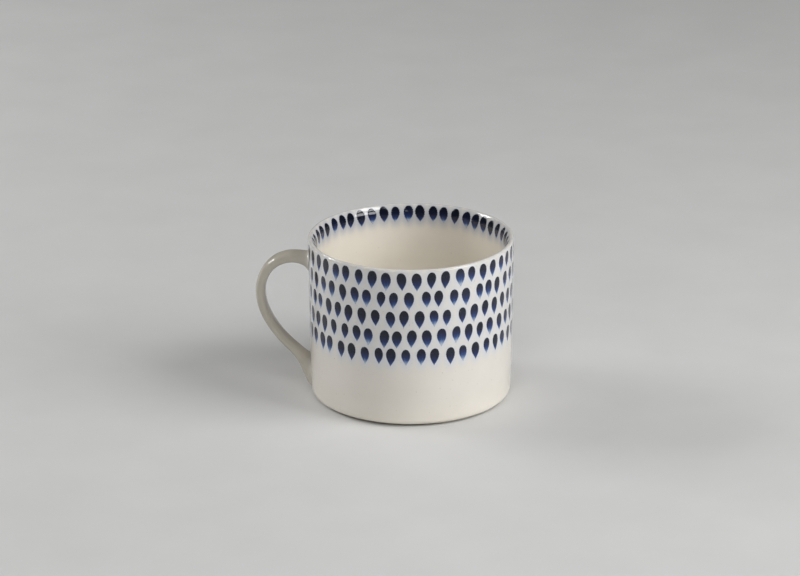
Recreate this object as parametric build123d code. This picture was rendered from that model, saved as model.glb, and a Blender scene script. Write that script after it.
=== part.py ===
from build123d import *

import math
import os
import random

# A hand-painted stoneware mug: a straight-sided cup with a strap handle.
#
# The clay parts are the cup, the handle and the two beds of slip that hold the
# handle on. A glaze coat covers them all except the foot ring, and rows of cobalt
# drops are painted on it, five outside and one inside the lip.
#
# Frame: +Z up, the origin in the middle of the foot ring's resting plane, the
# cup's axis on Z and the handle reaching out along -X. Millimetres.

# Cup, measured over the glaze
cup_height = 72.7
rim_radius = 45.0
waist_radius = 44.4  # where the straight wall ends
waist_height = 16.0
heel_radius = 43.95  # just above the rounded heel
heel_round = 2.5
foot_height = 1.0  # from the table up to the underside of the heel
foot_outer_radius = 37.5
foot_inner_radius = 34.0
foot_edge = 0.4
well_depth = 1.7  # hollow inside the foot ring
lip_round = 1.0  # radius of the lip's edge
lip_lean = 36.0  # degrees from upright that the inner wall has eased out by at the lip
throat_depth = 5.5  # below the top, where the inner wall starts to ease out
throat_thickness = 3.54
wall_thickness = 4.0  # at the waist
floor_thickness = 4.5
inner_corner = 6.5
glaze = 0.25
foot_glaze_gap = 0.5  # the glaze is wiped back this far from the foot ring

# Handle, measured over the glaze: reach from the cup's axis and height
handle_line = [
    (43.6, 60.3),
    (48.4, 61.7),
    (54.4, 61.7),
    (60.3, 59.0),
    (64.6, 53.5),
    (66.3, 45.8),
    (64.8, 37.2),
    (60.9, 29.6),
    (55.8, 23.1),
    (50.2, 17.5),
    (46.6, 13.4),
    (43.6, 10.0),
]
strap_width = 8.5
strap_thickness_top = 4.85
strap_thickness_low = 3.4
upper_flare = (4.5, 1.9, 2.0)  # extra thickness at the wall, its fade length, extra width
lower_flare = (12.4, 3.6, 2.6)
square_on = 3.0  # distance over which a section turns to face the wall
section_steps = [0, 1, 2, 3.2, 4.6, 6.5, 10, 15, 20.5, 26, 32]  # from each end
slip_thickness = 0.5

# Painted drops
drop_width = 4.2
drop_length = 8.1
drop_head = 0.33  # the widest place, as a share of the length
paint = 0.08
outside_rows = 5
outside_count = 44
first_row_top = 71.6
first_row_start = -0.6  # degrees
row_drift = 0.75  # degrees that each row has wandered round from the one above
row_pitch = 8.75
inside_count = 48
inside_start = -1.0  # degrees
inside_top = 71.95
inside_width = 4.45
inside_length = 7.4
inside_middle = 42.25  # radius midway through the flared wall that the inside drops lie on
angle_play = 0.75  # degrees
height_play = 0.3
tilt_play = 3.5  # degrees
size_play = 0.07
play_seed = 12
handle_clearance = 0.6  # bare glaze kept between a drop and the handle
handle_side = 160.0  # degrees past which a drop may run into the handle
tail_slope = 0.42  # sideways run of a drop's tail for each unit down
brush_reach = 1.2  # how far a drop's cutting prism reaches each side of the wall

underside = foot_height
straight_top = cup_height - lip_round
floor_height = well_depth + floor_thickness
inner_waist_height = floor_height + inner_corner
inner_waist_radius = waist_radius - wall_thickness


def outside_section(inset):
    """Outer half section from the rim to the heel's underside, cut back by inset."""
    rim = (rim_radius - inset, straight_top)
    waist = (waist_radius - inset, waist_height)
    heel_top = (heel_radius - inset, underside + heel_round)
    heel_bottom = (heel_radius - heel_round, underside + inset)
    down_the_wall = (waist_radius - rim_radius, waist_height - straight_top)
    lines = [
        Line(rim, waist),
        Spline(waist, heel_top, tangents=[down_the_wall, (0, -1)]),
        RadiusArc(heel_top, heel_bottom, heel_round - inset),
    ]
    return lines, rim, heel_bottom


def inside_section(inset):
    """Inner half section from the axis up to the lip, cut back by inset."""
    level = floor_height - inset
    lean = math.radians(lip_lean)
    edge = lip_round - inset
    rim = (
        rim_radius - lip_round - edge * math.cos(lean),
        straight_top + edge * math.sin(lean),
    )
    throat = (rim_radius - throat_thickness + inset, cup_height - throat_depth)
    waist = (inner_waist_radius + inset, inner_waist_height)
    floor_edge = (waist[0] - inner_corner, level)
    wall = Line(throat, waist)
    down_from_lip = (-math.sin(lean), -math.cos(lean))
    lines = [
        Line((0, level), floor_edge),
        Spline(floor_edge, waist, tangents=[(1, 0), wall.tangent_at(1) * -1]),
        wall,
        Spline(rim, throat, tangents=[down_from_lip, wall.tangent_at(0)]),
    ]
    return lines, rim, level


def cup_section(inset):
    """Half section of the cup, cut back by inset from its glazed surface."""
    outside, outer_rim, heel_bottom = outside_section(inset)
    inside, inner_rim, level = inside_section(inset)
    lip_top = (rim_radius - lip_round, straight_top + lip_round - inset)
    return inside + [ThreePointArc(inner_rim, lip_top, outer_rim)] + outside, heel_bottom, level


def revolved(lines):
    """Turns a closed half section, drawn as radius and height, about Z."""
    return revolve(Plane.XZ * make_face(lines), Axis.Z)


def foot_lines(start, level):
    """Underside of the cup with its foot ring, from the heel to the axis."""
    ring_top_out = (foot_outer_radius, start[1])
    points = [
        start,
        ring_top_out,
        (foot_outer_radius, foot_edge),
        (foot_outer_radius - foot_edge, 0),
        (foot_inner_radius + foot_edge, 0),
        (foot_inner_radius, foot_edge),
        (foot_inner_radius, well_depth),
        (0, well_depth),
        (0, level),
    ]
    return [Line(a, b) for a, b in zip(points, points[1:])]


def make_cup_body():
    """The fired clay cup with its bare foot ring."""
    lines, heel_bottom, level = cup_section(glaze)
    return revolved(lines + foot_lines(heel_bottom, level))


def make_cup_glaze():
    """The coat over the wall, lip and inside, wiped back from the foot ring."""
    skin, skin_end, skin_level = cup_section(0)
    clay, clay_end, clay_level = cup_section(glaze)
    stop = foot_outer_radius + foot_glaze_gap
    edges = [
        Line(skin_end, (stop, skin_end[1])),
        Line((stop, skin_end[1]), (stop, clay_end[1])),
        Line((stop, clay_end[1]), clay_end),
        Line((0, skin_level), (0, clay_level)),
    ]
    return revolved(skin + clay + edges)


def fade(amount, length, distance):
    return amount * math.exp(-max(distance, 0) / length)


def handle_section(line, place, skin):
    """One oval section of the strap at a distance along its centre line."""
    total = line.length
    share = place / total
    middle = line.position_at(share)
    heading = line.tangent_at(share)
    from_top = place
    from_low = total - place
    thickness = strap_thickness_top + (strap_thickness_low - strap_thickness_top) * share
    thickness += fade(upper_flare[0], upper_flare[1], from_top)
    thickness += fade(lower_flare[0], lower_flare[1], from_low)
    width = strap_width
    width += fade(upper_flare[2], upper_flare[1], from_top)
    width += fade(lower_flare[2], lower_flare[1], from_low)
    facing_top = fade(1, square_on, from_top)
    facing_low = fade(1, square_on, from_low)
    free = max(0.0, 1 - facing_top - facing_low)
    normal = Vector(-1, 0, 0) * facing_top + Vector(1, 0, 0) * facing_low + heading * free
    frame = Plane(origin=middle, x_dir=(0, 1, 0), z_dir=normal)
    return frame * Ellipse(width / 2 + skin, thickness / 2 + skin)


def handle_loft(skin):
    """The strap swept from the upper joint to the lower one, grown by skin."""
    line = Spline([(-reach, 0, height) for reach, height in handle_line])
    places = section_steps + [line.length - step for step in reversed(section_steps)]
    middle_gap = places[len(section_steps)] - places[len(section_steps) - 1]
    middle = places[len(section_steps) - 1] + middle_gap / 2
    places.insert(len(section_steps), middle)
    return loft([handle_section(line, place, skin) for place in places])


def filled_cup(inset):
    """The cup's outer shape filled solid up to the lip's rounding."""
    lines, rim, heel_bottom = outside_section(inset)
    closing = [
        Line(heel_bottom, (0, heel_bottom[1])),
        Line((0, heel_bottom[1]), (0, rim[1])),
        Line((0, rim[1]), rim),
    ]
    return revolved(lines + closing)


def paint_coat():
    """The paper-thin skin on both walls and the lip that drops are cut from."""
    glazed, glazed_end, glazed_level = cup_section(0)
    painted, painted_end, painted_level = cup_section(-paint)
    closing = [Line(glazed_end, painted_end), Line((0, glazed_level), (0, painted_level))]
    return revolved(glazed + painted + closing)


def drop_face(width, length):
    """A brush dab: a round head that narrows to a point below."""
    head = length * drop_head
    side = width / 2
    outline = [
        EllipticalCenterArc((0, -head), side, head, 0, arc_size=180),
        Spline((-side, -head), (0, -length), tangents=[(0, -1), (tail_slope, -1)]),
        Spline((0, -length), (side, -head), tangents=[(tail_slope, 1), (0, 1)]),
    ]
    return make_face(outline)


def place_drop(face, angle, top, tilt, radius):
    """The dab pushed through the wall at an angle about the axis."""
    facing = Vector(math.cos(math.radians(angle)), math.sin(math.radians(angle)), 0)
    along = Vector(-facing.Y, facing.X, 0)
    start = facing * (radius - brush_reach) + Vector(0, 0, top)
    frame = Plane(origin=start, x_dir=along, z_dir=facing)
    return extrude(frame * Rot(0, 0, tilt) * face, amount=2 * brush_reach)


def paint_row(play, coat, count, start, top, size, radius, keep_off=None):
    """One row of dabs, with the small unevenness of a hand-held brush."""
    drops = []
    for number in range(count):
        angle = start + number * 360 / count + play.uniform(-angle_play, angle_play)
        height = top + play.uniform(-height_play, height_play)
        tilt = play.uniform(-tilt_play, tilt_play)
        grow = 1 + play.uniform(-size_play, size_play)
        prism = place_drop(drop_face(size[0] * grow, size[1] * grow), angle, height, tilt, radius)
        by_handle = abs((angle % 360) - 180) < 180 - handle_side
        if keep_off and by_handle and prism.distance_to(keep_off) < handle_clearance:
            continue
        drops.append(Solid(prism.intersect(coat).solids()[0].wrapped))
    return drops


def write_parts():
    os.makedirs("parts", exist_ok=True)
    core = handle_loft(-glaze)
    sleeve = handle_loft(0)
    clay_wall = filled_cup(glaze)
    slip_wall = filled_cup(glaze - slip_thickness)
    slip = (core & slip_wall) - clay_wall
    upper_slip, lower_slip = sorted(slip.solids(), key=lambda bed: -bed.center().Z)

    parts = {
        "cup_body": make_cup_body(),
        "handle": core - slip_wall,
        "upper_slip_joint": upper_slip,
        "lower_slip_joint": lower_slip,
        "cup_glaze": make_cup_glaze() - sleeve,
        "handle_glaze": (sleeve - clay_wall) - (core - clay_wall),
    }

    play = random.Random(play_seed)
    coat = paint_coat()
    pitch = 360 / outside_count
    for row in range(outside_rows):
        parts[f"outside_drops_row_{row + 1}"] = Compound(children=paint_row(
            play,
            coat,
            outside_count,
            first_row_start + row * row_drift + pitch / 2 * (row % 2),
            first_row_top - row * row_pitch,
            (drop_width, drop_length),
            rim_radius,
            sleeve,
        ))
    parts["inside_drops_row"] = Compound(children=paint_row(
        play,
        coat,
        inside_count,
        inside_start,
        inside_top,
        (inside_width, inside_length),
        inside_middle,
    ))

    for name, shape in parts.items():
        export_step(shape, f"parts/{name}.step")
        print(name, len(shape.solids()), round(sum(s.volume for s in shape.solids()), 2))


write_parts()
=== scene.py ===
import math

import bpy
import numpy as np
from mathutils import Matrix, Vector


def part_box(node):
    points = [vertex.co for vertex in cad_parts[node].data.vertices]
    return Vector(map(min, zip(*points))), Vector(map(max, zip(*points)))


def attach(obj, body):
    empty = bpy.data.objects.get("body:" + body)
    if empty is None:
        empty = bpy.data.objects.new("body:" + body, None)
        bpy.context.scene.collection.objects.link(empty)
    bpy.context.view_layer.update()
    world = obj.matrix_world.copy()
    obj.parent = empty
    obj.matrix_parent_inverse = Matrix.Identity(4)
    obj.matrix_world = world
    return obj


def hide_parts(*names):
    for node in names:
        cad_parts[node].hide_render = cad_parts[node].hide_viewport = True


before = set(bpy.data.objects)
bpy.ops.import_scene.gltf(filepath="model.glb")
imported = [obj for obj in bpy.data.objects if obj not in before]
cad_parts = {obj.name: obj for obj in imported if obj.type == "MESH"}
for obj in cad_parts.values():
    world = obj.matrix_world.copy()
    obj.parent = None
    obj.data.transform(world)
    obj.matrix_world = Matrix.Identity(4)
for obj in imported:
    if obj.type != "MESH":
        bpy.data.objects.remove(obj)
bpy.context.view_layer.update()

mm = 0.001


def linearColour(code):
    # sRGB hex to linear light, by the sRGB curve
    parts = [int(code[i:i + 2], 16) / 255 for i in (1, 3, 5)]
    return [c / 12.92 if c <= 0.04045 else ((c + 0.055) / 1.055) ** 2.4 for c in parts] + [1.0]


def addNode(tree, kind, settings=None, values=None, links=None):
    # one node with its settings, its sockets' own values, and what feeds its other sockets
    node = tree.nodes.new(kind)
    for name, value in (settings or {}).items():
        setattr(node, name, value)
    for socket, value in (values or {}).items():
        node.inputs[socket].default_value = value
    for socket, source in (links or {}).items():
        tree.links.new(source, node.inputs[socket])
    return node


def newMaterial(name):
    # an empty material and its node tree
    material = bpy.data.materials.new(name)
    material.use_nodes = True
    material.node_tree.nodes.clear()
    return material, material.node_tree


def closeMaterial(tree, shader):
    # the shader becomes the surface
    addNode(tree, "ShaderNodeOutputMaterial", links={"Surface": shader.outputs[0]})


def setRamp(node, stops):
    # stops are (place, sRGB hex) pairs from low to high
    ramp = node.color_ramp
    while len(ramp.elements) < len(stops):
        ramp.elements.new(1.0)
    for element, (place, code) in zip(ramp.elements, stops):
        element.position = place
        element.color = linearColour(code)
    return node


def makePiece(name, rings, firstPole, lastPole, material, replaced):
    # rings[copy, i, j] is station i along a surface and j round it, for each of its loose copies.
    # Quads join neighbours, and each end is fanned to its pole.
    copies, rows, cols = rings.shape[:3]
    verts = np.concatenate([rings.reshape(copies, -1, 3), firstPole[:, None], lastPole[:, None]], 1)
    i, j = np.meshgrid(np.arange(rows - 1), np.arange(cols), indexing="ij")
    here, beside = i * cols + j, i * cols + (j + 1) % cols
    quads = np.stack([here, here + cols, beside + cols, beside], -1).reshape(-1, 4)
    ring = np.arange(cols)
    turned = (ring + 1) % cols
    end = (rows - 1) * cols
    fans = np.concatenate([
        np.stack([np.full(cols, rows * cols), ring, turned], -1),
        np.stack([np.full(cols, rows * cols + 1), end + turned, end + ring], -1),
    ])
    shift = np.arange(copies)[:, None, None] * verts.shape[1]
    faces = (quads + shift).reshape(-1, 4).tolist() + (fans + shift).reshape(-1, 3).tolist()
    mesh = bpy.data.meshes.new(name)
    mesh.from_pydata(verts.reshape(-1, 3).tolist(), [], faces)
    mesh.polygons.foreach_set("use_smooth", np.ones(len(faces), bool))
    mesh.materials.append(material)
    mesh.update()
    piece = bpy.data.objects.new(name, mesh)
    bpy.context.scene.collection.objects.link(piece)
    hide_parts(*replaced)
    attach(piece, "root")
    print("made", name, len(faces), "faces")
    return piece


def paintValue(piece, name, values):
    # one number per vertex, for the materials
    attribute = piece.data.attributes.new(name, "FLOAT", "POINT")
    attribute.data.foreach_set("value", np.ascontiguousarray(values, np.float32).ravel())


cameraSet = {
    "azimuth": 5.0,         # degrees round from looking along +Y
    "elevation": 20.15,
    "distance": 1.65,       # metres to the point aimed at
    "lens": 169.2,
    "roll": 0.25,
    "aimAside": -4.8 * mm,
    "aimUp": 48.4 * mm,
    "farEnd": 50,
}


def direction(azimuth, elevation):
    # unit vector from the object out to something at that azimuth and elevation
    a, e = math.radians(azimuth), math.radians(elevation)
    return np.array([math.sin(a) * math.cos(e), -math.cos(a) * math.cos(e), math.sin(e)])


def aimAt(thing, place, target, roll=0.0):
    # puts a camera or lamp at a place, with its -Z towards the target and +Y up, then rolls it
    look = Vector(target) - Vector(place)
    turn = look.to_track_quat("-Z", "Y").to_matrix() @ Matrix.Rotation(math.radians(roll), 3, "Z")
    thing.matrix_world = Matrix.Translation(place) @ turn.to_4x4()


def makeCamera():
    # aims at a point a little beside the cup's axis, square to the view
    c = cameraSet
    a = math.radians(c["azimuth"])
    aim = np.array([math.cos(a) * c["aimAside"], math.sin(a) * c["aimAside"], c["aimUp"]])
    data = bpy.data.cameras.new("camera")
    data.lens = c["lens"]
    data.clip_end = c["farEnd"]
    camera = bpy.data.objects.new("camera", data)
    bpy.context.scene.collection.objects.link(camera)
    aimAt(camera, aim + direction(c["azimuth"], c["elevation"]) * c["distance"], aim, -c["roll"])
    bpy.context.scene.camera = camera


glazeLow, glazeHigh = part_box("cup_glaze")
cup = {
    # in mm, with places as radius and height
    "rim": glazeHigh.x / mm,
    "top": glazeHigh.z / mm,
    "underside": glazeLow.z / mm,
    "waist": (44.4, 16.0),      # radius and height where the straight wall ends
    "heel": 43.95,
    "heelRound": 2.5,
    "lipRound": 1.0,
    "lipLean": 36.0,            # degrees that the inner wall has eased out by at the lip
    "throat": (5.5, 3.54),      # depth below the top where that easing starts, and the wall there
    "wall": 4.0,                # the wall's thickness at the waist
    "floor": 6.2,               # height of the glazed inner floor
    "innerCorner": 6.5,
    "coat": 0.25,               # the glaze's thickness
    "glazeStop": 38.0,          # radius where the glaze was wiped off underneath
    "footOut": 37.5,            # the foot ring's two radii
    "footIn": 34.0,
    "footEdge": 0.55,           # rounding of the ring's edges, and of its outer root
    "footRoot": 0.3,
    "well": 1.7,                # depth of the hollow inside the ring
    "wave": 0.05,               # how far the wall wanders from true, by hand and in the fire
    "waveStart": (0.6, -1.1),   # where its two slow waves start round the cup, in radians
    "waveClimb": 30.0,          # height over which the second wave drifts round by one radian
    "waveIn": 0.8,              # share of it by which the whole wall sits in, never to stand proud
    "waveFade": 4,              # the power p by which it fades towards the middle
    "poleGap": 0.6,             # radius of the small ring round each pole
}
cupGrid = {
    # stations along each part of the profile, in order, and then round the cup and the clay
    "profile": (16, 20, 52, 16, 26, 62, 12, 12),
    "fewest": 3,
    "glazeRound": 336,
    "clayRound": 256,
    "hidden": 0.25,             # share of the stations on the glaze's hidden side, and on the clay
    "clay": 0.5,
    "flat": 4,
    "bend": 8,
    "well": 14,
}


def straight(a, b, count):
    # evenly spaced points from a up to b, without b
    t = np.arange(count)[:, None] / count
    return np.array(a) * (1 - t) + np.array(b) * t


def turnAbout(centre, radius, start, end, count):
    # part of a circle between two angles in degrees, without its last point
    t = np.radians(start + (end - start) * np.arange(count) / count)
    return np.array(centre) + radius * np.stack([np.cos(t), np.sin(t)], -1)


def easeTo(a, leaving, b, arriving, count):
    # Hermite cubic from a to b with the directions it leaves and arrives in, without b
    a, b, leaving, arriving = (np.array(v, float) for v in (a, b, leaving, arriving))
    reach = np.linalg.norm(b - a)
    leaving = leaving / np.linalg.norm(leaving) * reach
    arriving = arriving / np.linalg.norm(arriving) * reach
    t = np.arange(count)[:, None] / count
    rise = 3 * t ** 2 - 2 * t ** 3
    pulled = leaving * (t - 2 * t ** 2 + t ** 3) + arriving * (t ** 3 - t ** 2)
    return a * (1 - rise) + b * rise + pulled


def cupProfile(inset, density):
    # radius and height in mm, from the middle of the inner floor over the lip to the heel's
    # underside: straight lines, arcs and cubic easings, all set in from the surface by inset
    c = cup
    counts = [max(cupGrid["fewest"], int(count * density)) for count in cupGrid["profile"]]
    lipRound = c["lipRound"]
    shoulder = c["top"] - lipRound
    level = c["floor"] - inset
    innerWaist = (c["waist"][0] - c["wall"] + inset, c["floor"] + c["innerCorner"])
    throat = (c["rim"] - c["throat"][1] + inset, c["top"] - c["throat"][0])
    floorEdge = (innerWaist[0] - c["innerCorner"], level)
    wallUp = np.subtract(throat, innerWaist)
    lean = math.radians(c["lipLean"])
    lipCentre = (c["rim"] - lipRound, shoulder)
    innerRim = np.array(lipCentre) + (lipRound - inset) * np.array([-math.cos(lean), math.sin(lean)])
    outerRim = (c["rim"] - inset, shoulder)
    waist = (c["waist"][0] - inset, c["waist"][1])
    heelTop = (c["heel"] - inset, c["underside"] + c["heelRound"])
    heelCentre = (c["heel"] - c["heelRound"], heelTop[1])
    return np.concatenate([
        straight((c["poleGap"], level), floorEdge, counts[0]),
        easeTo(floorEdge, (1, 0), innerWaist, wallUp, counts[1]),
        straight(innerWaist, throat, counts[2]),
        easeTo(throat, wallUp, innerRim, (math.sin(lean), math.cos(lean)), counts[3]),
        turnAbout(lipCentre, lipRound - inset, 180 - c["lipLean"], 0, counts[4]),
        straight(outerRim, waist, counts[5]),
        easeTo(waist, np.subtract(waist, outerRim), heelTop, (0, -1), counts[6]),
        turnAbout(heelCentre, c["heelRound"] - inset, 0, -90, counts[7]),
    ])


def wander(angle, height):
    # the small unevenness of a wall, in mm: half of sin 2a plus a quarter of sin 3a, the second
    # drifting round as it climbs, and all of it set inwards
    first, second = cup["waveStart"]
    waves = np.sin(2 * angle + first) + 0.5 * np.sin(3 * angle + second + height / cup["waveClimb"])
    return cup["wave"] * waves * 0.5 - cup["wave"] * cup["waveIn"]


def wandered(radius, angle, height):
    # the radius with the wall's wander, which fades towards the middle as (radius / rim)^p
    fade = np.clip(radius / cup["rim"], 0, 1) ** cup["waveFade"]
    return radius + wander(angle, height) * fade


def revolve(profile, count):
    # the profile turned about the axis: (r cos a, r sin a, z), with the wandered radius r
    angle = 2 * math.pi * np.arange(count)[None, :] / count
    radius, height = profile[:, :1], profile[:, 1:]
    radius = wandered(radius, angle, height)
    height = height + 0 * angle
    return np.stack([radius * np.cos(angle), radius * np.sin(angle), height], -1)[None] * mm


def axisPoint(height):
    # a pole on the axis
    return np.array([[0.0, 0.0, height * mm]])


fineProfile = 2.0       # stations per usual station when a radius is read off the profile


def outerRadius(height):
    # the glazed wall's outer radius in mm at each height, read off the profile
    profile = cupProfile(0, fineProfile)
    down = profile[np.argmax(profile[:, 1]):]
    return np.interp(height, down[::-1, 1], down[::-1, 0])


def innerRadius(height):
    # the same for the wall inside
    profile = cupProfile(0, fineProfile)
    up = profile[:np.argmax(profile[:, 1]) + 1]
    return np.interp(height, up[:, 1], up[:, 0])


def makeCup(clearGlaze, bareClay):
    # the glaze runs from the inner floor over the lip to where it was wiped, and back along the
    # clay. The clay takes the same way one coat deeper, then goes round the foot ring.
    c, g = cup, cupGrid
    outside = cupProfile(0, 1.0)
    stop, edge = c["glazeStop"], c["coat"]
    glaze = np.concatenate([
        outside,
        straight(outside[-1], (stop + edge, c["underside"]), g["flat"] + 1)[1:],
        turnAbout((stop + edge, c["underside"] + edge), edge, -90, -180, g["flat"] + 1),
        cupProfile(edge, g["hidden"])[::-1],
    ])
    cupGlaze = makePiece("cup_glaze_coat", revolve(glaze, g["glazeRound"]), axisPoint(c["floor"]),
                         axisPoint(c["floor"] - edge), clearGlaze, ["cup_glaze"])

    under, well = c["underside"] + edge, c["well"]
    soft, root = c["footEdge"], c["footRoot"]
    foot = np.concatenate([
        cupProfile(edge, g["clay"]),
        straight((c["heel"] - c["heelRound"], under), (c["footOut"] + root, under), g["flat"]),
        turnAbout((c["footOut"] + root, under - root), root, 90, 180, g["flat"] + 1),
        turnAbout((c["footOut"] - soft, soft), soft, 0, -90, g["bend"]),
        straight((c["footOut"] - soft, 0), (c["footIn"] + soft, 0), g["flat"]),
        turnAbout((c["footIn"] + soft, soft), soft, -90, -180, g["bend"]),
        turnAbout((c["footIn"] - soft, well - soft), soft, 0, 90, g["bend"]),
        straight((c["footIn"] - soft, well), (c["poleGap"], well), g["well"]),
    ])
    makePiece("fired_clay_cup", revolve(foot, g["clayRound"]), axisPoint(c["floor"] - edge),
              axisPoint(well), bareClay, ["cup_body"])
    return cupGlaze


handle = {
    # reach from the axis and height, in mm, down the middle of the strap
    "line": [(43.6, 60.3), (48.4, 61.7), (54.4, 61.7), (60.3, 59.0), (64.6, 53.5), (66.3, 45.8),
             (64.8, 37.2), (60.9, 29.6), (55.8, 23.1), (50.2, 17.5), (46.6, 13.4), (43.6, 10.0)],
    "width": 8.5,
    "unevenWidth": (0.12, 9.0),     # pulled by hand, so never quite even: by how much, how often
    "thick": (4.85, 3.4),           # at the top joint and at the lower one
    "flareTop": (4.5, 1.9, 2.0),    # extra thickness at the wall, its fade length, extra width
    "flareLow": (12.4, 3.6, 2.6),
    "slip": (1.3, 0.7),             # the smoothed slip round each joint, and its fade length
    "paintedShadeFade": 1.1,                  # how soon the cup's glaze colour fades along the strap into the strap's painted shade
    "squareOn": 3.0,                # length over which the strap turns to face the wall
    "squareness": 2.9,              # 2 is an ellipse, more is boxier
    "stations": 220,
    "round": 56,
}


def smoothLine(points, shares):
    # natural cubic spline through the points, by the distance between them
    points = np.array(points, float)
    n = len(points)
    gap = np.linalg.norm(np.diff(points, axis=0), axis=1)
    along = np.concatenate([[0], np.cumsum(gap)])
    system, pull = np.eye(n), np.zeros((n, 2))
    k = np.arange(1, n - 1)
    system[k, k - 1], system[k, k], system[k, k + 1] = gap[:-1], 2 * (gap[:-1] + gap[1:]), gap[1:]
    pull[1:-1] = 6 * np.diff(np.diff(points, axis=0) / gap[:, None], axis=0)
    bend = np.linalg.solve(system, pull)
    t = shares * along[-1]
    i = np.clip(np.searchsorted(along, t, "right") - 1, 0, n - 2)
    b = ((t - along[i]) / gap[i])[:, None]
    a = 1 - b
    curve = (a ** 3 - a) * bend[i] + (b ** 3 - b) * bend[i + 1]
    return a * points[i] + b * points[i + 1] + curve * gap[i][:, None] ** 2 / 6


def makeHandle(clearGlaze):
    # a boxy oval, cos and sin each raised to 2 over its squareness, carried down the strap's
    # line: it flares towards both ends as exp(-distance / fade), and turns to face the wall
    # there, where its glaze colour, painted darker for the shade the cup casts on the strap, passes
    # into the cup's
    h = handle
    shares = (1 - np.cos(np.pi * np.linspace(0, 1, h["stations"]))) / 2
    line = smoothLine(h["line"], shares)
    middle = np.stack([-line[:, 0], 0 * line[:, 0], line[:, 1]], -1)
    step = np.linalg.norm(np.diff(middle, axis=0), axis=1)
    fromTop = np.concatenate([[0], np.cumsum(step)])
    fromLow = fromTop[-1] - fromTop
    heading = np.gradient(middle, fromTop, axis=0)
    squareTop, squareLow = np.exp(-fromTop / h["squareOn"]), np.exp(-fromLow / h["squareOn"])
    free = np.clip(1 - squareTop - squareLow, 0, 1)
    facing = heading * free[:, None]
    facing[:, 0] += squareLow - squareTop
    facing /= np.linalg.norm(facing, axis=1, keepdims=True)
    across = np.array([0.0, -1.0, 0.0])
    outward = np.cross(facing, across)

    top, low, slip = h["flareTop"], h["flareLow"], h["slip"]
    fadeTop, fadeLow = np.exp(-fromTop / top[1]), np.exp(-fromLow / low[1])
    sink = outerRadius(line[:, 1]) - line[:, 0]      # over 0 inside the wall
    smear = slip[0] * np.exp(np.minimum(sink, 0) / slip[1])
    thick = h["thick"][0] + (h["thick"][1] - h["thick"][0]) * fromTop / fromTop[-1]
    thick = thick + top[0] * fadeTop + low[0] * fadeLow + smear
    width = h["width"] + top[2] * fadeTop + low[2] * fadeLow + smear
    width = width + h["unevenWidth"][0] * np.sin(fromTop / h["unevenWidth"][1])

    turn = 2 * math.pi * np.arange(h["round"]) / h["round"]
    power = 2 / h["squareness"]
    out = np.sign(np.cos(turn)) * np.abs(np.cos(turn)) ** power
    side = np.sign(np.sin(turn)) * np.abs(np.sin(turn)) ** power
    rings = middle[:, None] + outward[:, None] * (thick[:, None] / 2 * out)[..., None]
    rings = rings + across * (width[:, None] / 2 * side)[..., None]
    piece = makePiece("handle_glaze_coat", rings[None] * mm, middle[:1] * mm, middle[-1:] * mm,
                      clearGlaze, ["handle_glaze"])
    spots = np.concatenate([rings.reshape(-1, 3), middle[:1], middle[-1:]])
    offWall = np.hypot(spots[:, 0], spots[:, 1]) - outerRadius(spots[:, 2])
    # glazeBlend is 1 at the wall, where the strap takes the cup's colour, and falls to 0 along the
    # strap, where its colour is painted shade
    paintValue(piece, "glazeBlend", np.exp(-np.maximum(offWall, 0) / h["paintedShadeFade"]))
    return piece


dab = {
    "rows": 5,                      # on the outside
    "widest": 0.37,                 # share of the length from the head
    "headPower": 0.42,              # how full the head is, and how fast the tail narrows
    "tailPower": 1.3,
    "height": (0.03, 0.06),         # how far the paint stands up outside and inside, in mm
    "edgePower": 8,                 # how steeply it rises at its edge
    "sunk": 0.004,                  # how far the edge lies under the glaze, and the closed back
    "back": 0.05,
    "ringsOutside": (1.0, 0.86, 0.5),
    "ringsInside": (1.0, 0.88, 0.66, 0.44, 0.22),    # more, to follow the flared lip
    "round": 20,
    "uneven": 0.03,                 # how far a brushed outline strays, across it and along it
    "stray": 0.012,
    "drierTip": (1.13, 1.6),        # inside, the colour's gain and power: fuller head, paler tip
    "brushSeed": 7,
    "bleedOutside": (3.1, 5.0),     # how far the cobalt bleeds into the glaze, round and up
    "bleedInside": (4.4, 5.2),
    "bleedPower": 1.5,
    "bleedAbove": 20,               # the glaze is plain below this height
}


def dabPlaces(node):
    # Where each of the node's loose dabs lies. Its points are joined by place, and a dab is what
    # its triangles join: every point takes the lowest number among those it can reach.
    # One row each: head's angle, tip's angle, top, tip height and half width, in radians and mm.
    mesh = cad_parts[node].data
    spots = np.empty(len(mesh.vertices) * 3, np.float32)
    mesh.vertices.foreach_get("co", spots)
    corners = np.empty(len(mesh.loops), np.int32)
    mesh.loops.foreach_get("vertex_index", corners)
    spots, joined = np.unique(np.round(spots.reshape(-1, 3) / mm, 4), axis=0, return_inverse=True)
    triangles = joined.ravel()[corners].reshape(-1, 3)
    label, before = np.arange(len(spots)), None
    while before is None or (label != before).any():
        before = label.copy()
        np.minimum.at(label, triangles, label[triangles].min(1, keepdims=True))
        label = label[label]
    places = []
    for dabLabel in np.unique(label):
        group = spots[label == dabLabel]
        z = group[:, 2]
        middle = group.mean(0)
        about = math.atan2(middle[1], middle[0])
        a = (np.arctan2(group[:, 1], group[:, 0]) - about + math.pi) % (2 * math.pi) - math.pi
        radius = np.hypot(group[:, 0], group[:, 1]).mean()
        places.append([about + (a.min() + a.max()) / 2, about + a[np.argmin(z)], z.max(), z.min(),
                       (a.max() - a.min()) / 2 * radius])
    places = sorted(places)
    print("read", node, len(places), "dabs")
    return np.array(places)


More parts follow.
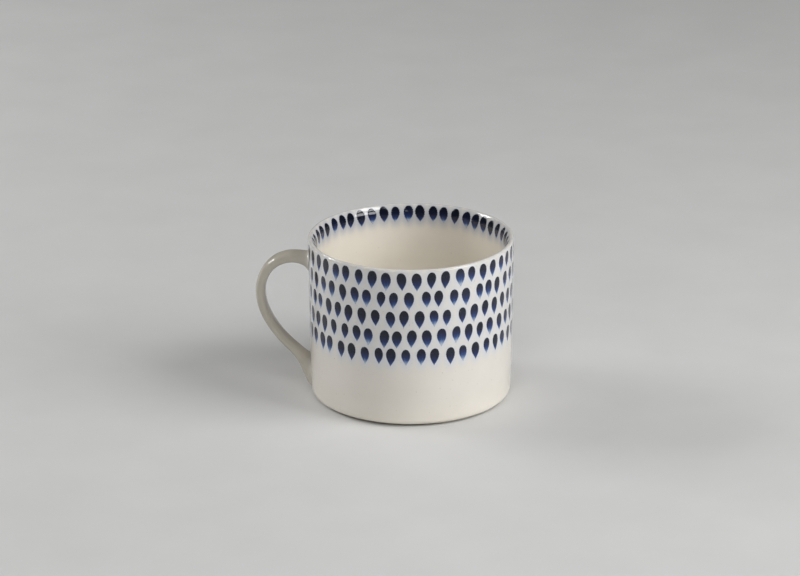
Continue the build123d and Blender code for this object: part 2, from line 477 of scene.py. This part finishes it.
def makeDabs(name, node, cobalt, inside, play):
    # a drop outline: half width goes as a^h (1 - a^2)^t for a share a of the length from the
    # head, and the paint swells as 1 - v^p from edge to middle, with h, t and p the three powers
    # in dab. It lies on the wall by angle and height.
    places = dabPlaces(node)
    count = len(places)
    head, tip, top, low, half = (column[:, None, None] for column in places.T)
    turn = 2 * math.pi * np.arange(dab["round"])[None, None, :] / dab["round"]
    share = np.sin(turn / 2) ** 2
    shape = share ** dab["headPower"] * np.maximum(1 - share ** 2, 0) ** dab["tailPower"]
    shape = np.sign(np.sin(turn)) * shape / shape.max()
    phase = play.uniform(0, 2 * math.pi, (count, 2, 1))
    shape = shape * (1 + dab["uneven"] * np.sin(2 * turn + phase[:, :1]))
    share = share + dab["stray"] * np.sin(turn + phase[:, 1:])
    inward = np.array(dab["ringsInside" if inside else "ringsOutside"])[None, :, None]
    length = top - low
    slant = (tip - head) / (1 - dab["widest"])
    across = shape * inward * half
    down = dab["widest"] + (share - dab["widest"]) * inward
    height = top - down * length
    wallRadius = innerRadius if inside else outerRadius
    radius = wallRadius(height)
    side = -1 if inside else 1
    angle = head + slant * (down - dab["widest"]) + side * across / radius
    stands = dab["height"][1 if inside else 0]
    swell = side * (stands * (1 - inward ** dab["edgePower"]) - dab["sunk"])
    radius = wandered(radius, angle, height) + swell
    rings = np.stack([radius * np.cos(angle), radius * np.sin(angle), height + 0 * angle], -1) * mm

    poleHeight = (top - dab["widest"] * length)[:, 0, 0]
    poleAngle = head[:, 0, 0]
    base = wandered(wallRadius(poleHeight), poleAngle, poleHeight)

    def pole(lift):
        # each dab's middle, so far out of the wall
        r = (base + side * lift) * mm
        return np.stack([r * np.cos(poleAngle), r * np.sin(poleAngle), poleHeight * mm], -1)

    piece = makePiece(name, rings, pole(-dab["back"]), pole(stands), cobalt, [node])
    ringShare = np.broadcast_to(down, across.shape).reshape(count, -1)
    ringEdge = np.broadcast_to(1 - inward, across.shape).reshape(count, -1)
    poles = np.ones((count, 2))
    tone = np.repeat(play.uniform(0, 1, (count, 1)), ringShare.shape[1] + 2, 1)
    downDab = np.concatenate([ringShare, poles * dab["widest"]], 1).clip(0)
    if inside:
        downDab = dab["drierTip"][0] * downDab ** dab["drierTip"][1]
    paintValue(piece, "downDab", downDab)
    paintValue(piece, "fromEdge", np.concatenate([ringEdge, poles], 1))
    paintValue(piece, "dabTone", tone)
    return places


def paintHaze(cupGlaze, outsidePlaces, insidePlaces):
    # how much cobalt has bled into the glaze: one soft spot about each dab, exp(-(d^2)^p) for a
    # distance d in spot sizes and the bleed's power p. The look also passes from outside to
    # inside over the lip.
    spots = np.empty(len(cupGlaze.data.vertices) * 3, np.float32)
    cupGlaze.data.vertices.foreach_get("co", spots)
    spots = spots.reshape(-1, 3) / mm
    angle, radius = np.arctan2(spots[:, 1], spots[:, 0]), np.hypot(spots[:, 0], spots[:, 1])
    haze = np.zeros(len(spots), np.float32)
    crest = cup["rim"] - cup["lipRound"]
    for places, onSide, (wide, tall) in ((outsidePlaces, radius > crest, dab["bleedOutside"]),
                                         (insidePlaces, radius <= crest, dab["bleedInside"])):
        near = onSide & (spots[:, 2] > dab["bleedAbove"])
        middle = (places[:, 2] + places[:, 3]) / 2
        for at, z in zip(places[:, 0], middle):
            side = (angle[near] - at + math.pi) % (2 * math.pi) - math.pi
            far = (side * cup["rim"] / wide) ** 2 + ((spots[near, 2] - z) / tall) ** 2
            haze[near] = np.maximum(haze[near], np.exp(-far ** dab["bleedPower"]))
    # glazeBlend passes from the outside's colour to the inside's, which is painted lighter for
    # bounced light
    paintValue(cupGlaze, "glazeBlend", np.clip((crest - radius) / cup["lipRound"] + 0.5, 0, 1))
    paintValue(cupGlaze, "cobaltBleed", haze)


def size(millimetres):
    # noise scale for a pattern of that real size on coordinates in metres
    return 1000 / millimetres


glazeLook = {
    # the two ends of the slow colour change over the surface, and the tint of bled cobalt
    "outside": ("#E2DDD4", "#E8E3DB", "#D2D8E3"),
    # the inside's cream colours are painted lighter and warmer: painted light standing in for light
    # bounced round inside the cup
    "inside": ("#EBE4D7", "#F1EBDF", "#AFB6C4"),
    # the strap's colours are painted darker and greyer: painted shade where the cup keeps the main
    # light off it
    "handle": ("#BFB8AA", "#C7C1B4", "#C6CAD3"),
    "bleeding": 0.9,
    "cloud": 22,                # mm across one slow change of colour
    "cloudSpan": (0.3, 0.7),    # share of the noise over which it changes
    "speck": 1.1,               # mm, drawn coarser than the real grains so that they show
    "speckTint": "#8F7F6A",
    "speckSpan": (0.74, 0.82),  # the higher, the fewer
    "speckShows": 0.35,
    "ripple": 6,
    "rippleDepth": 0.05 * mm,
    "rippleShows": 0.35,
    "gloss": (0.05, 0.1),
    "ior": 1.5,
}


def makeGlaze(name, firstLook, secondLook):
    # Clear feldspar glaze dipped over pale stoneware and fired: a glassy, faintly wavy skin, warm
    # cream over the clay, and a shade bluer where cobalt has bled into it. A few iron specks of the
    # clay show through. The first look passes into the second as glazeBlend goes from 0 to 1. The
    # looks hold painted light: the cup's inside is painted lighter and warmer for bounced light, and
    # the strap darker and greyer for the shade the cup casts on it.
    g = glazeLook
    material, tree = newMaterial(name)
    place = addNode(tree, "ShaderNodeTexCoord").outputs["Object"]
    blend = addNode(tree, "ShaderNodeAttribute", {"attribute_name": "glazeBlend"}).outputs["Fac"]
    bleed = addNode(tree, "ShaderNodeAttribute", {"attribute_name": "cobaltBleed"}).outputs["Fac"]
    cloud = addNode(tree, "ShaderNodeTexNoise", values={"Scale": size(g["cloud"]), "Detail": 3.0},
                    links={"Vector": place})
    ramps = [
        setRamp(addNode(tree, "ShaderNodeValToRGB", links={"Fac": cloud.outputs["Fac"]}),
                list(zip(g["cloudSpan"], look)))
        for look in (firstLook, secondLook)
    ]
    base = addNode(tree, "ShaderNodeMix", {"data_type": "RGBA"}, links={
        "Factor": blend, "A": ramps[0].outputs["Color"], "B": ramps[1].outputs["Color"]})
    bled = addNode(tree, "ShaderNodeMix", {"data_type": "RGBA"},
                   {"A": linearColour(firstLook[2]), "B": linearColour(secondLook[2])},
                   {"Factor": blend})
    bleedAmount = addNode(tree, "ShaderNodeMath", {"operation": "MULTIPLY"},
                          {1: g["bleeding"]}, {0: bleed})
    tinted = addNode(tree, "ShaderNodeMix", {"data_type": "RGBA"}, links={
        "Factor": bleedAmount.outputs[0], "A": base.outputs["Result"],
        "B": bled.outputs["Result"]})
    speck = addNode(tree, "ShaderNodeTexNoise", values={"Scale": size(g["speck"]), "Detail": 1.0},
                    links={"Vector": place})
    speckAmount = addNode(tree, "ShaderNodeMapRange", values={
        "From Min": g["speckSpan"][0], "From Max": g["speckSpan"][1], "To Max": g["speckShows"]},
        links={"Value": speck.outputs["Fac"]})
    colour = addNode(tree, "ShaderNodeMix", {"data_type": "RGBA"},
                     {"B": linearColour(g["speckTint"])},
                     {"Factor": speckAmount.outputs["Result"], "A": tinted.outputs["Result"]})
    ripple = addNode(tree, "ShaderNodeTexNoise",
                     values={"Scale": size(g["ripple"]), "Detail": 2.0, "Roughness": 0.4},
                     links={"Vector": place})
    skin = addNode(tree, "ShaderNodeBump",
                   values={"Strength": g["rippleShows"], "Distance": g["rippleDepth"]},
                   links={"Height": ripple.outputs["Fac"]})
    gloss = addNode(tree, "ShaderNodeMapRange",
                    values={"To Min": g["gloss"][0], "To Max": g["gloss"][1]},
                    links={"Value": cloud.outputs["Fac"]})
    shader = addNode(tree, "ShaderNodeBsdfPrincipled", values={"IOR": g["ior"]}, links={
        "Base Color": colour.outputs["Result"], "Roughness": gloss.outputs["Result"],
        "Normal": skin.outputs["Normal"]})
    closeMaterial(tree, shader)
    return material


cobaltLook = {
    # the pigment from thick to thin, against how far down the dab it lies
    "pigment": [(0.0, "#0B101E"), (0.38, "#111933"), (0.6, "#1B2B5A"), (0.76, "#2F4A80"),
                (0.88, "#6F86AE"), (1.0, "#B0BCD0")],
    "dabByDab": 0.34,           # how far one dab differs from another, and along one brush hair
    "streaks": 0.24,
    "settle": 0.29,             # taken off again, so that a middling dab starts at the darkest
    "hair": (0.7, 0.7, 3.5),    # mm across and along one streak
    "feather": "#A9B4C8",       # the washed-out edge
    "featherWide": 0.14,        # share of the half width
    "featherDown": (0.35, 0.85),    # how far down the dab it goes from faint to full
    "featherShows": (0.15, 0.75),
    "ior": 1.46,
    "roughness": 0.08,
}


def makeCobalt():
    # Cobalt oxide brushed on and fired under the clear glaze: almost black where the loaded
    # brush came down, thinning to ultramarine and then a watery grey-blue at the lifted tip.
    c = cobaltLook
    material, tree = newMaterial("brushedCobaltUnderglaze")
    place = addNode(tree, "ShaderNodeTexCoord").outputs["Object"]
    down = addNode(tree, "ShaderNodeAttribute", {"attribute_name": "downDab"}).outputs["Fac"]
    edge = addNode(tree, "ShaderNodeAttribute", {"attribute_name": "fromEdge"}).outputs["Fac"]
    tone = addNode(tree, "ShaderNodeAttribute", {"attribute_name": "dabTone"}).outputs["Fac"]
    drawnOut = addNode(tree, "ShaderNodeMapping",
                       values={"Scale": tuple(size(across) for across in c["hair"])},
                       links={"Vector": place})
    streak = addNode(tree, "ShaderNodeTexNoise", values={"Scale": 1.0, "Detail": 2.0},
                     links={"Vector": drawnOut.outputs["Vector"]})
    shifted = addNode(tree, "ShaderNodeMath", {"operation": "MULTIPLY_ADD"},
                      {1: c["dabByDab"]}, {0: tone, 2: down})
    streaked = addNode(tree, "ShaderNodeMath", {"operation": "MULTIPLY_ADD"},
                       {1: c["streaks"]}, {0: streak.outputs["Fac"], 2: shifted.outputs[0]})
    settled = addNode(tree, "ShaderNodeMath", {"operation": "SUBTRACT"},
                      {1: c["settle"]}, {0: streaked.outputs[0]})
    pigment = setRamp(addNode(tree, "ShaderNodeValToRGB", links={"Fac": settled.outputs[0]}),
                      c["pigment"])
    thin = addNode(tree, "ShaderNodeMapRange", {"interpolation_type": "SMOOTHSTEP"}, {
        "From Min": c["featherDown"][0], "From Max": c["featherDown"][1],
        "To Min": c["featherShows"][0], "To Max": c["featherShows"][1]}, {"Value": down})
    feather = addNode(tree, "ShaderNodeMapRange", {"interpolation_type": "SMOOTHSTEP"}, {
        "From Min": 0.0, "From Max": c["featherWide"], "To Min": 1.0, "To Max": 0.0},
        {"Value": edge})
    featherAmount = addNode(tree, "ShaderNodeMath", {"operation": "MULTIPLY"}, links={
        0: feather.outputs["Result"], 1: thin.outputs["Result"]})
    colour = addNode(tree, "ShaderNodeMix", {"data_type": "RGBA"},
                     {"B": linearColour(c["feather"])},
                     {"Factor": featherAmount.outputs[0], "A": pigment.outputs["Color"]})
    shader = addNode(tree, "ShaderNodeBsdfPrincipled",
                     values={"IOR": c["ior"], "Roughness": c["roughness"]},
                     links={"Base Color": colour.outputs["Result"]})
    closeMaterial(tree, shader)
    return material


clayLook = {
    "grit": 0.5,                # mm, and the wider stains that the fire leaves
    "stain": 14,
    "gritShows": 0.45,
    "colours": [(0.45, "#A8937A"), (0.72, "#C2AF97"), (0.95, "#CDBDA7")],
    "gritDepth": 0.08 * mm,
    "gritStrength": 0.6,
    "ior": 1.5,
    "roughness": 0.85,
}


def makeBareClay():
    # Stoneware clay, wiped clean before firing: dry, sandy and biscuit coloured, with fine grit.
    c = clayLook
    material, tree = newMaterial("unglazedStoneware")
    place = addNode(tree, "ShaderNodeTexCoord").outputs["Object"]
    grit = addNode(tree, "ShaderNodeTexNoise",
                   values={"Scale": size(c["grit"]), "Detail": 4.0, "Roughness": 0.7},
                   links={"Vector": place})
    stain = addNode(tree, "ShaderNodeTexNoise", values={"Scale": size(c["stain"]), "Detail": 3.0},
                    links={"Vector": place})
    blend = addNode(tree, "ShaderNodeMath", {"operation": "MULTIPLY_ADD"},
                    {1: c["gritShows"]}, {0: grit.outputs["Fac"], 2: stain.outputs["Fac"]})
    colour = setRamp(addNode(tree, "ShaderNodeValToRGB", links={"Fac": blend.outputs[0]}),
                     c["colours"])
    bump = addNode(tree, "ShaderNodeBump",
                   values={"Strength": c["gritStrength"], "Distance": c["gritDepth"]},
                   links={"Height": grit.outputs["Fac"]})
    shader = addNode(tree, "ShaderNodeBsdfPrincipled",
                     values={"Roughness": c["roughness"], "IOR": c["ior"]},
                     links={"Base Color": colour.outputs["Color"], "Normal": bump.outputs["Normal"]})
    closeMaterial(tree, shader)
    return material


board = {
    "half": 4.0,                # metres from its middle to its edge
    "cloud": 40,                # mm
    "colours": [(0.3, "#DBDBDA"), (0.7, "#DFDFDE")],
    "roughness": 0.6,
}


def makeTableTop():
    # A plain pale painted board, all but matt: no grain, only a slight unevenness of the paint.
    material, tree = newMaterial("paintedBoard")
    place = addNode(tree, "ShaderNodeTexCoord").outputs["Object"]
    tooth = addNode(tree, "ShaderNodeTexNoise",
                    values={"Scale": size(board["cloud"]), "Detail": 4.0}, links={"Vector": place})
    colour = setRamp(addNode(tree, "ShaderNodeValToRGB", links={"Fac": tooth.outputs["Fac"]}),
                     board["colours"])
    shader = addNode(tree, "ShaderNodeBsdfPrincipled", values={"Roughness": board["roughness"]},
                     links={"Base Color": colour.outputs["Color"]})
    closeMaterial(tree, shader)
    return material


def makeFloor():
    # one square at the height of the foot
    half = board["half"]
    mesh = bpy.data.meshes.new("floor")
    corners = [(-half, -half, 0), (half, -half, 0), (half, half, 0), (-half, half, 0)]
    mesh.from_pydata(corners, [], [(0, 1, 2, 3)])
    mesh.materials.append(makeTableTop())
    floor = bpy.data.objects.new("floor", mesh)
    bpy.context.scene.collection.objects.link(floor)
    print("made the floor")


lights = {
    # azimuth and elevation of the lamp seen from the cup, distance and size in metres, watts, and
    # what it does: "soft" lights surfaces without showing in the glaze, "glint" only shows there
    "window": (74, 34, 1.3, (0.75, 0.95), 11.6, "soft"),
    "leftWindow": (-104, 28, 1.4, (0.6, 0.5), 6.9, "soft"),
    "frontSky": (8, 42, 1.8, (1.2, 1.2), 10.0, "soft"),
    "lowLeft": (-130, 10, 1.4, (0.5, 0.4), 2.4, "soft"),
    "upperPane": (63, 41, 1.3, (0.62, 0.34), 7.5, "glint"),
    "lowerPane": (63, 20, 1.3, (0.62, 0.3), 5.0, "glint"),
    "leftPane": (-104, 33, 1.4, (0.5, 0.35), 10.0, "glint"),
    "smallLamp": (11, 20, 1.7, (0.04, 0.05), 1.4, "glint"),
}
roomLight = ("#FFFFFF", 0.08)
lampAim = (0, 0, 0.035)         # half way up the cup


def makeLights():
    # each lamp stands off along its direction and faces the cup, and the room adds an even glow
    middle = np.array(lampAim)
    for name, (azimuth, elevation, distance, (wide, tall), watts, job) in lights.items():
        data = bpy.data.lights.new(name, "AREA")
        data.shape = "RECTANGLE"
        data.size, data.size_y = wide, tall
        data.energy = watts
        lamp = bpy.data.objects.new(name, data)
        bpy.context.scene.collection.objects.link(lamp)
        lamp.visible_diffuse = job == "soft"
        lamp.visible_glossy = job == "glint"
        aimAt(lamp, middle + direction(azimuth, elevation) * distance, middle)
    world = bpy.data.worlds.new("room")
    world.use_nodes = True
    world.node_tree.nodes.clear()
    tint, strength = roomLight
    glow = addNode(world.node_tree, "ShaderNodeBackground",
                   values={"Color": linearColour(tint), "Strength": strength})
    addNode(world.node_tree, "ShaderNodeOutputWorld", links={"Surface": glow.outputs[0]})
    bpy.context.scene.world = world
    print("made", len(lights), "lamps")


makeCamera()
cobalt, bareClay = makeCobalt(), makeBareClay()
# the cup's glaze, with its inside painted lighter and warmer for bounced light
cupGlazePaintedBounce = makeGlaze("dippedFeldsparGlaze", glazeLook["outside"], glazeLook["inside"])
# the strap's glaze carries painted shade: darker where the cup keeps the light off it
shadedStrapGlaze = makeGlaze("feldsparGlazePaintedShade", glazeLook["handle"], glazeLook["outside"])
cupGlaze = makeCup(cupGlazePaintedBounce, bareClay)
makeHandle(shadedStrapGlaze)
play = np.random.default_rng(dab["brushSeed"])
outsidePlaces = [
    makeDabs(f"cobalt_dabs_row_{row}", f"outside_drops_row_{row}", cobalt, False, play)
    for row in range(1, dab["rows"] + 1)
]
insidePlaces = makeDabs("cobalt_dabs_inside", "inside_drops_row", cobalt, True, play)
paintHaze(cupGlaze, np.concatenate(outsidePlaces), insidePlaces)
for node in ("handle", "upper_slip_joint", "lower_slip_joint"):
    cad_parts[node].material_slots[0].material = bareClay
makeFloor()
makeLights()
bpy.context.scene.view_settings.view_transform = "Standard"
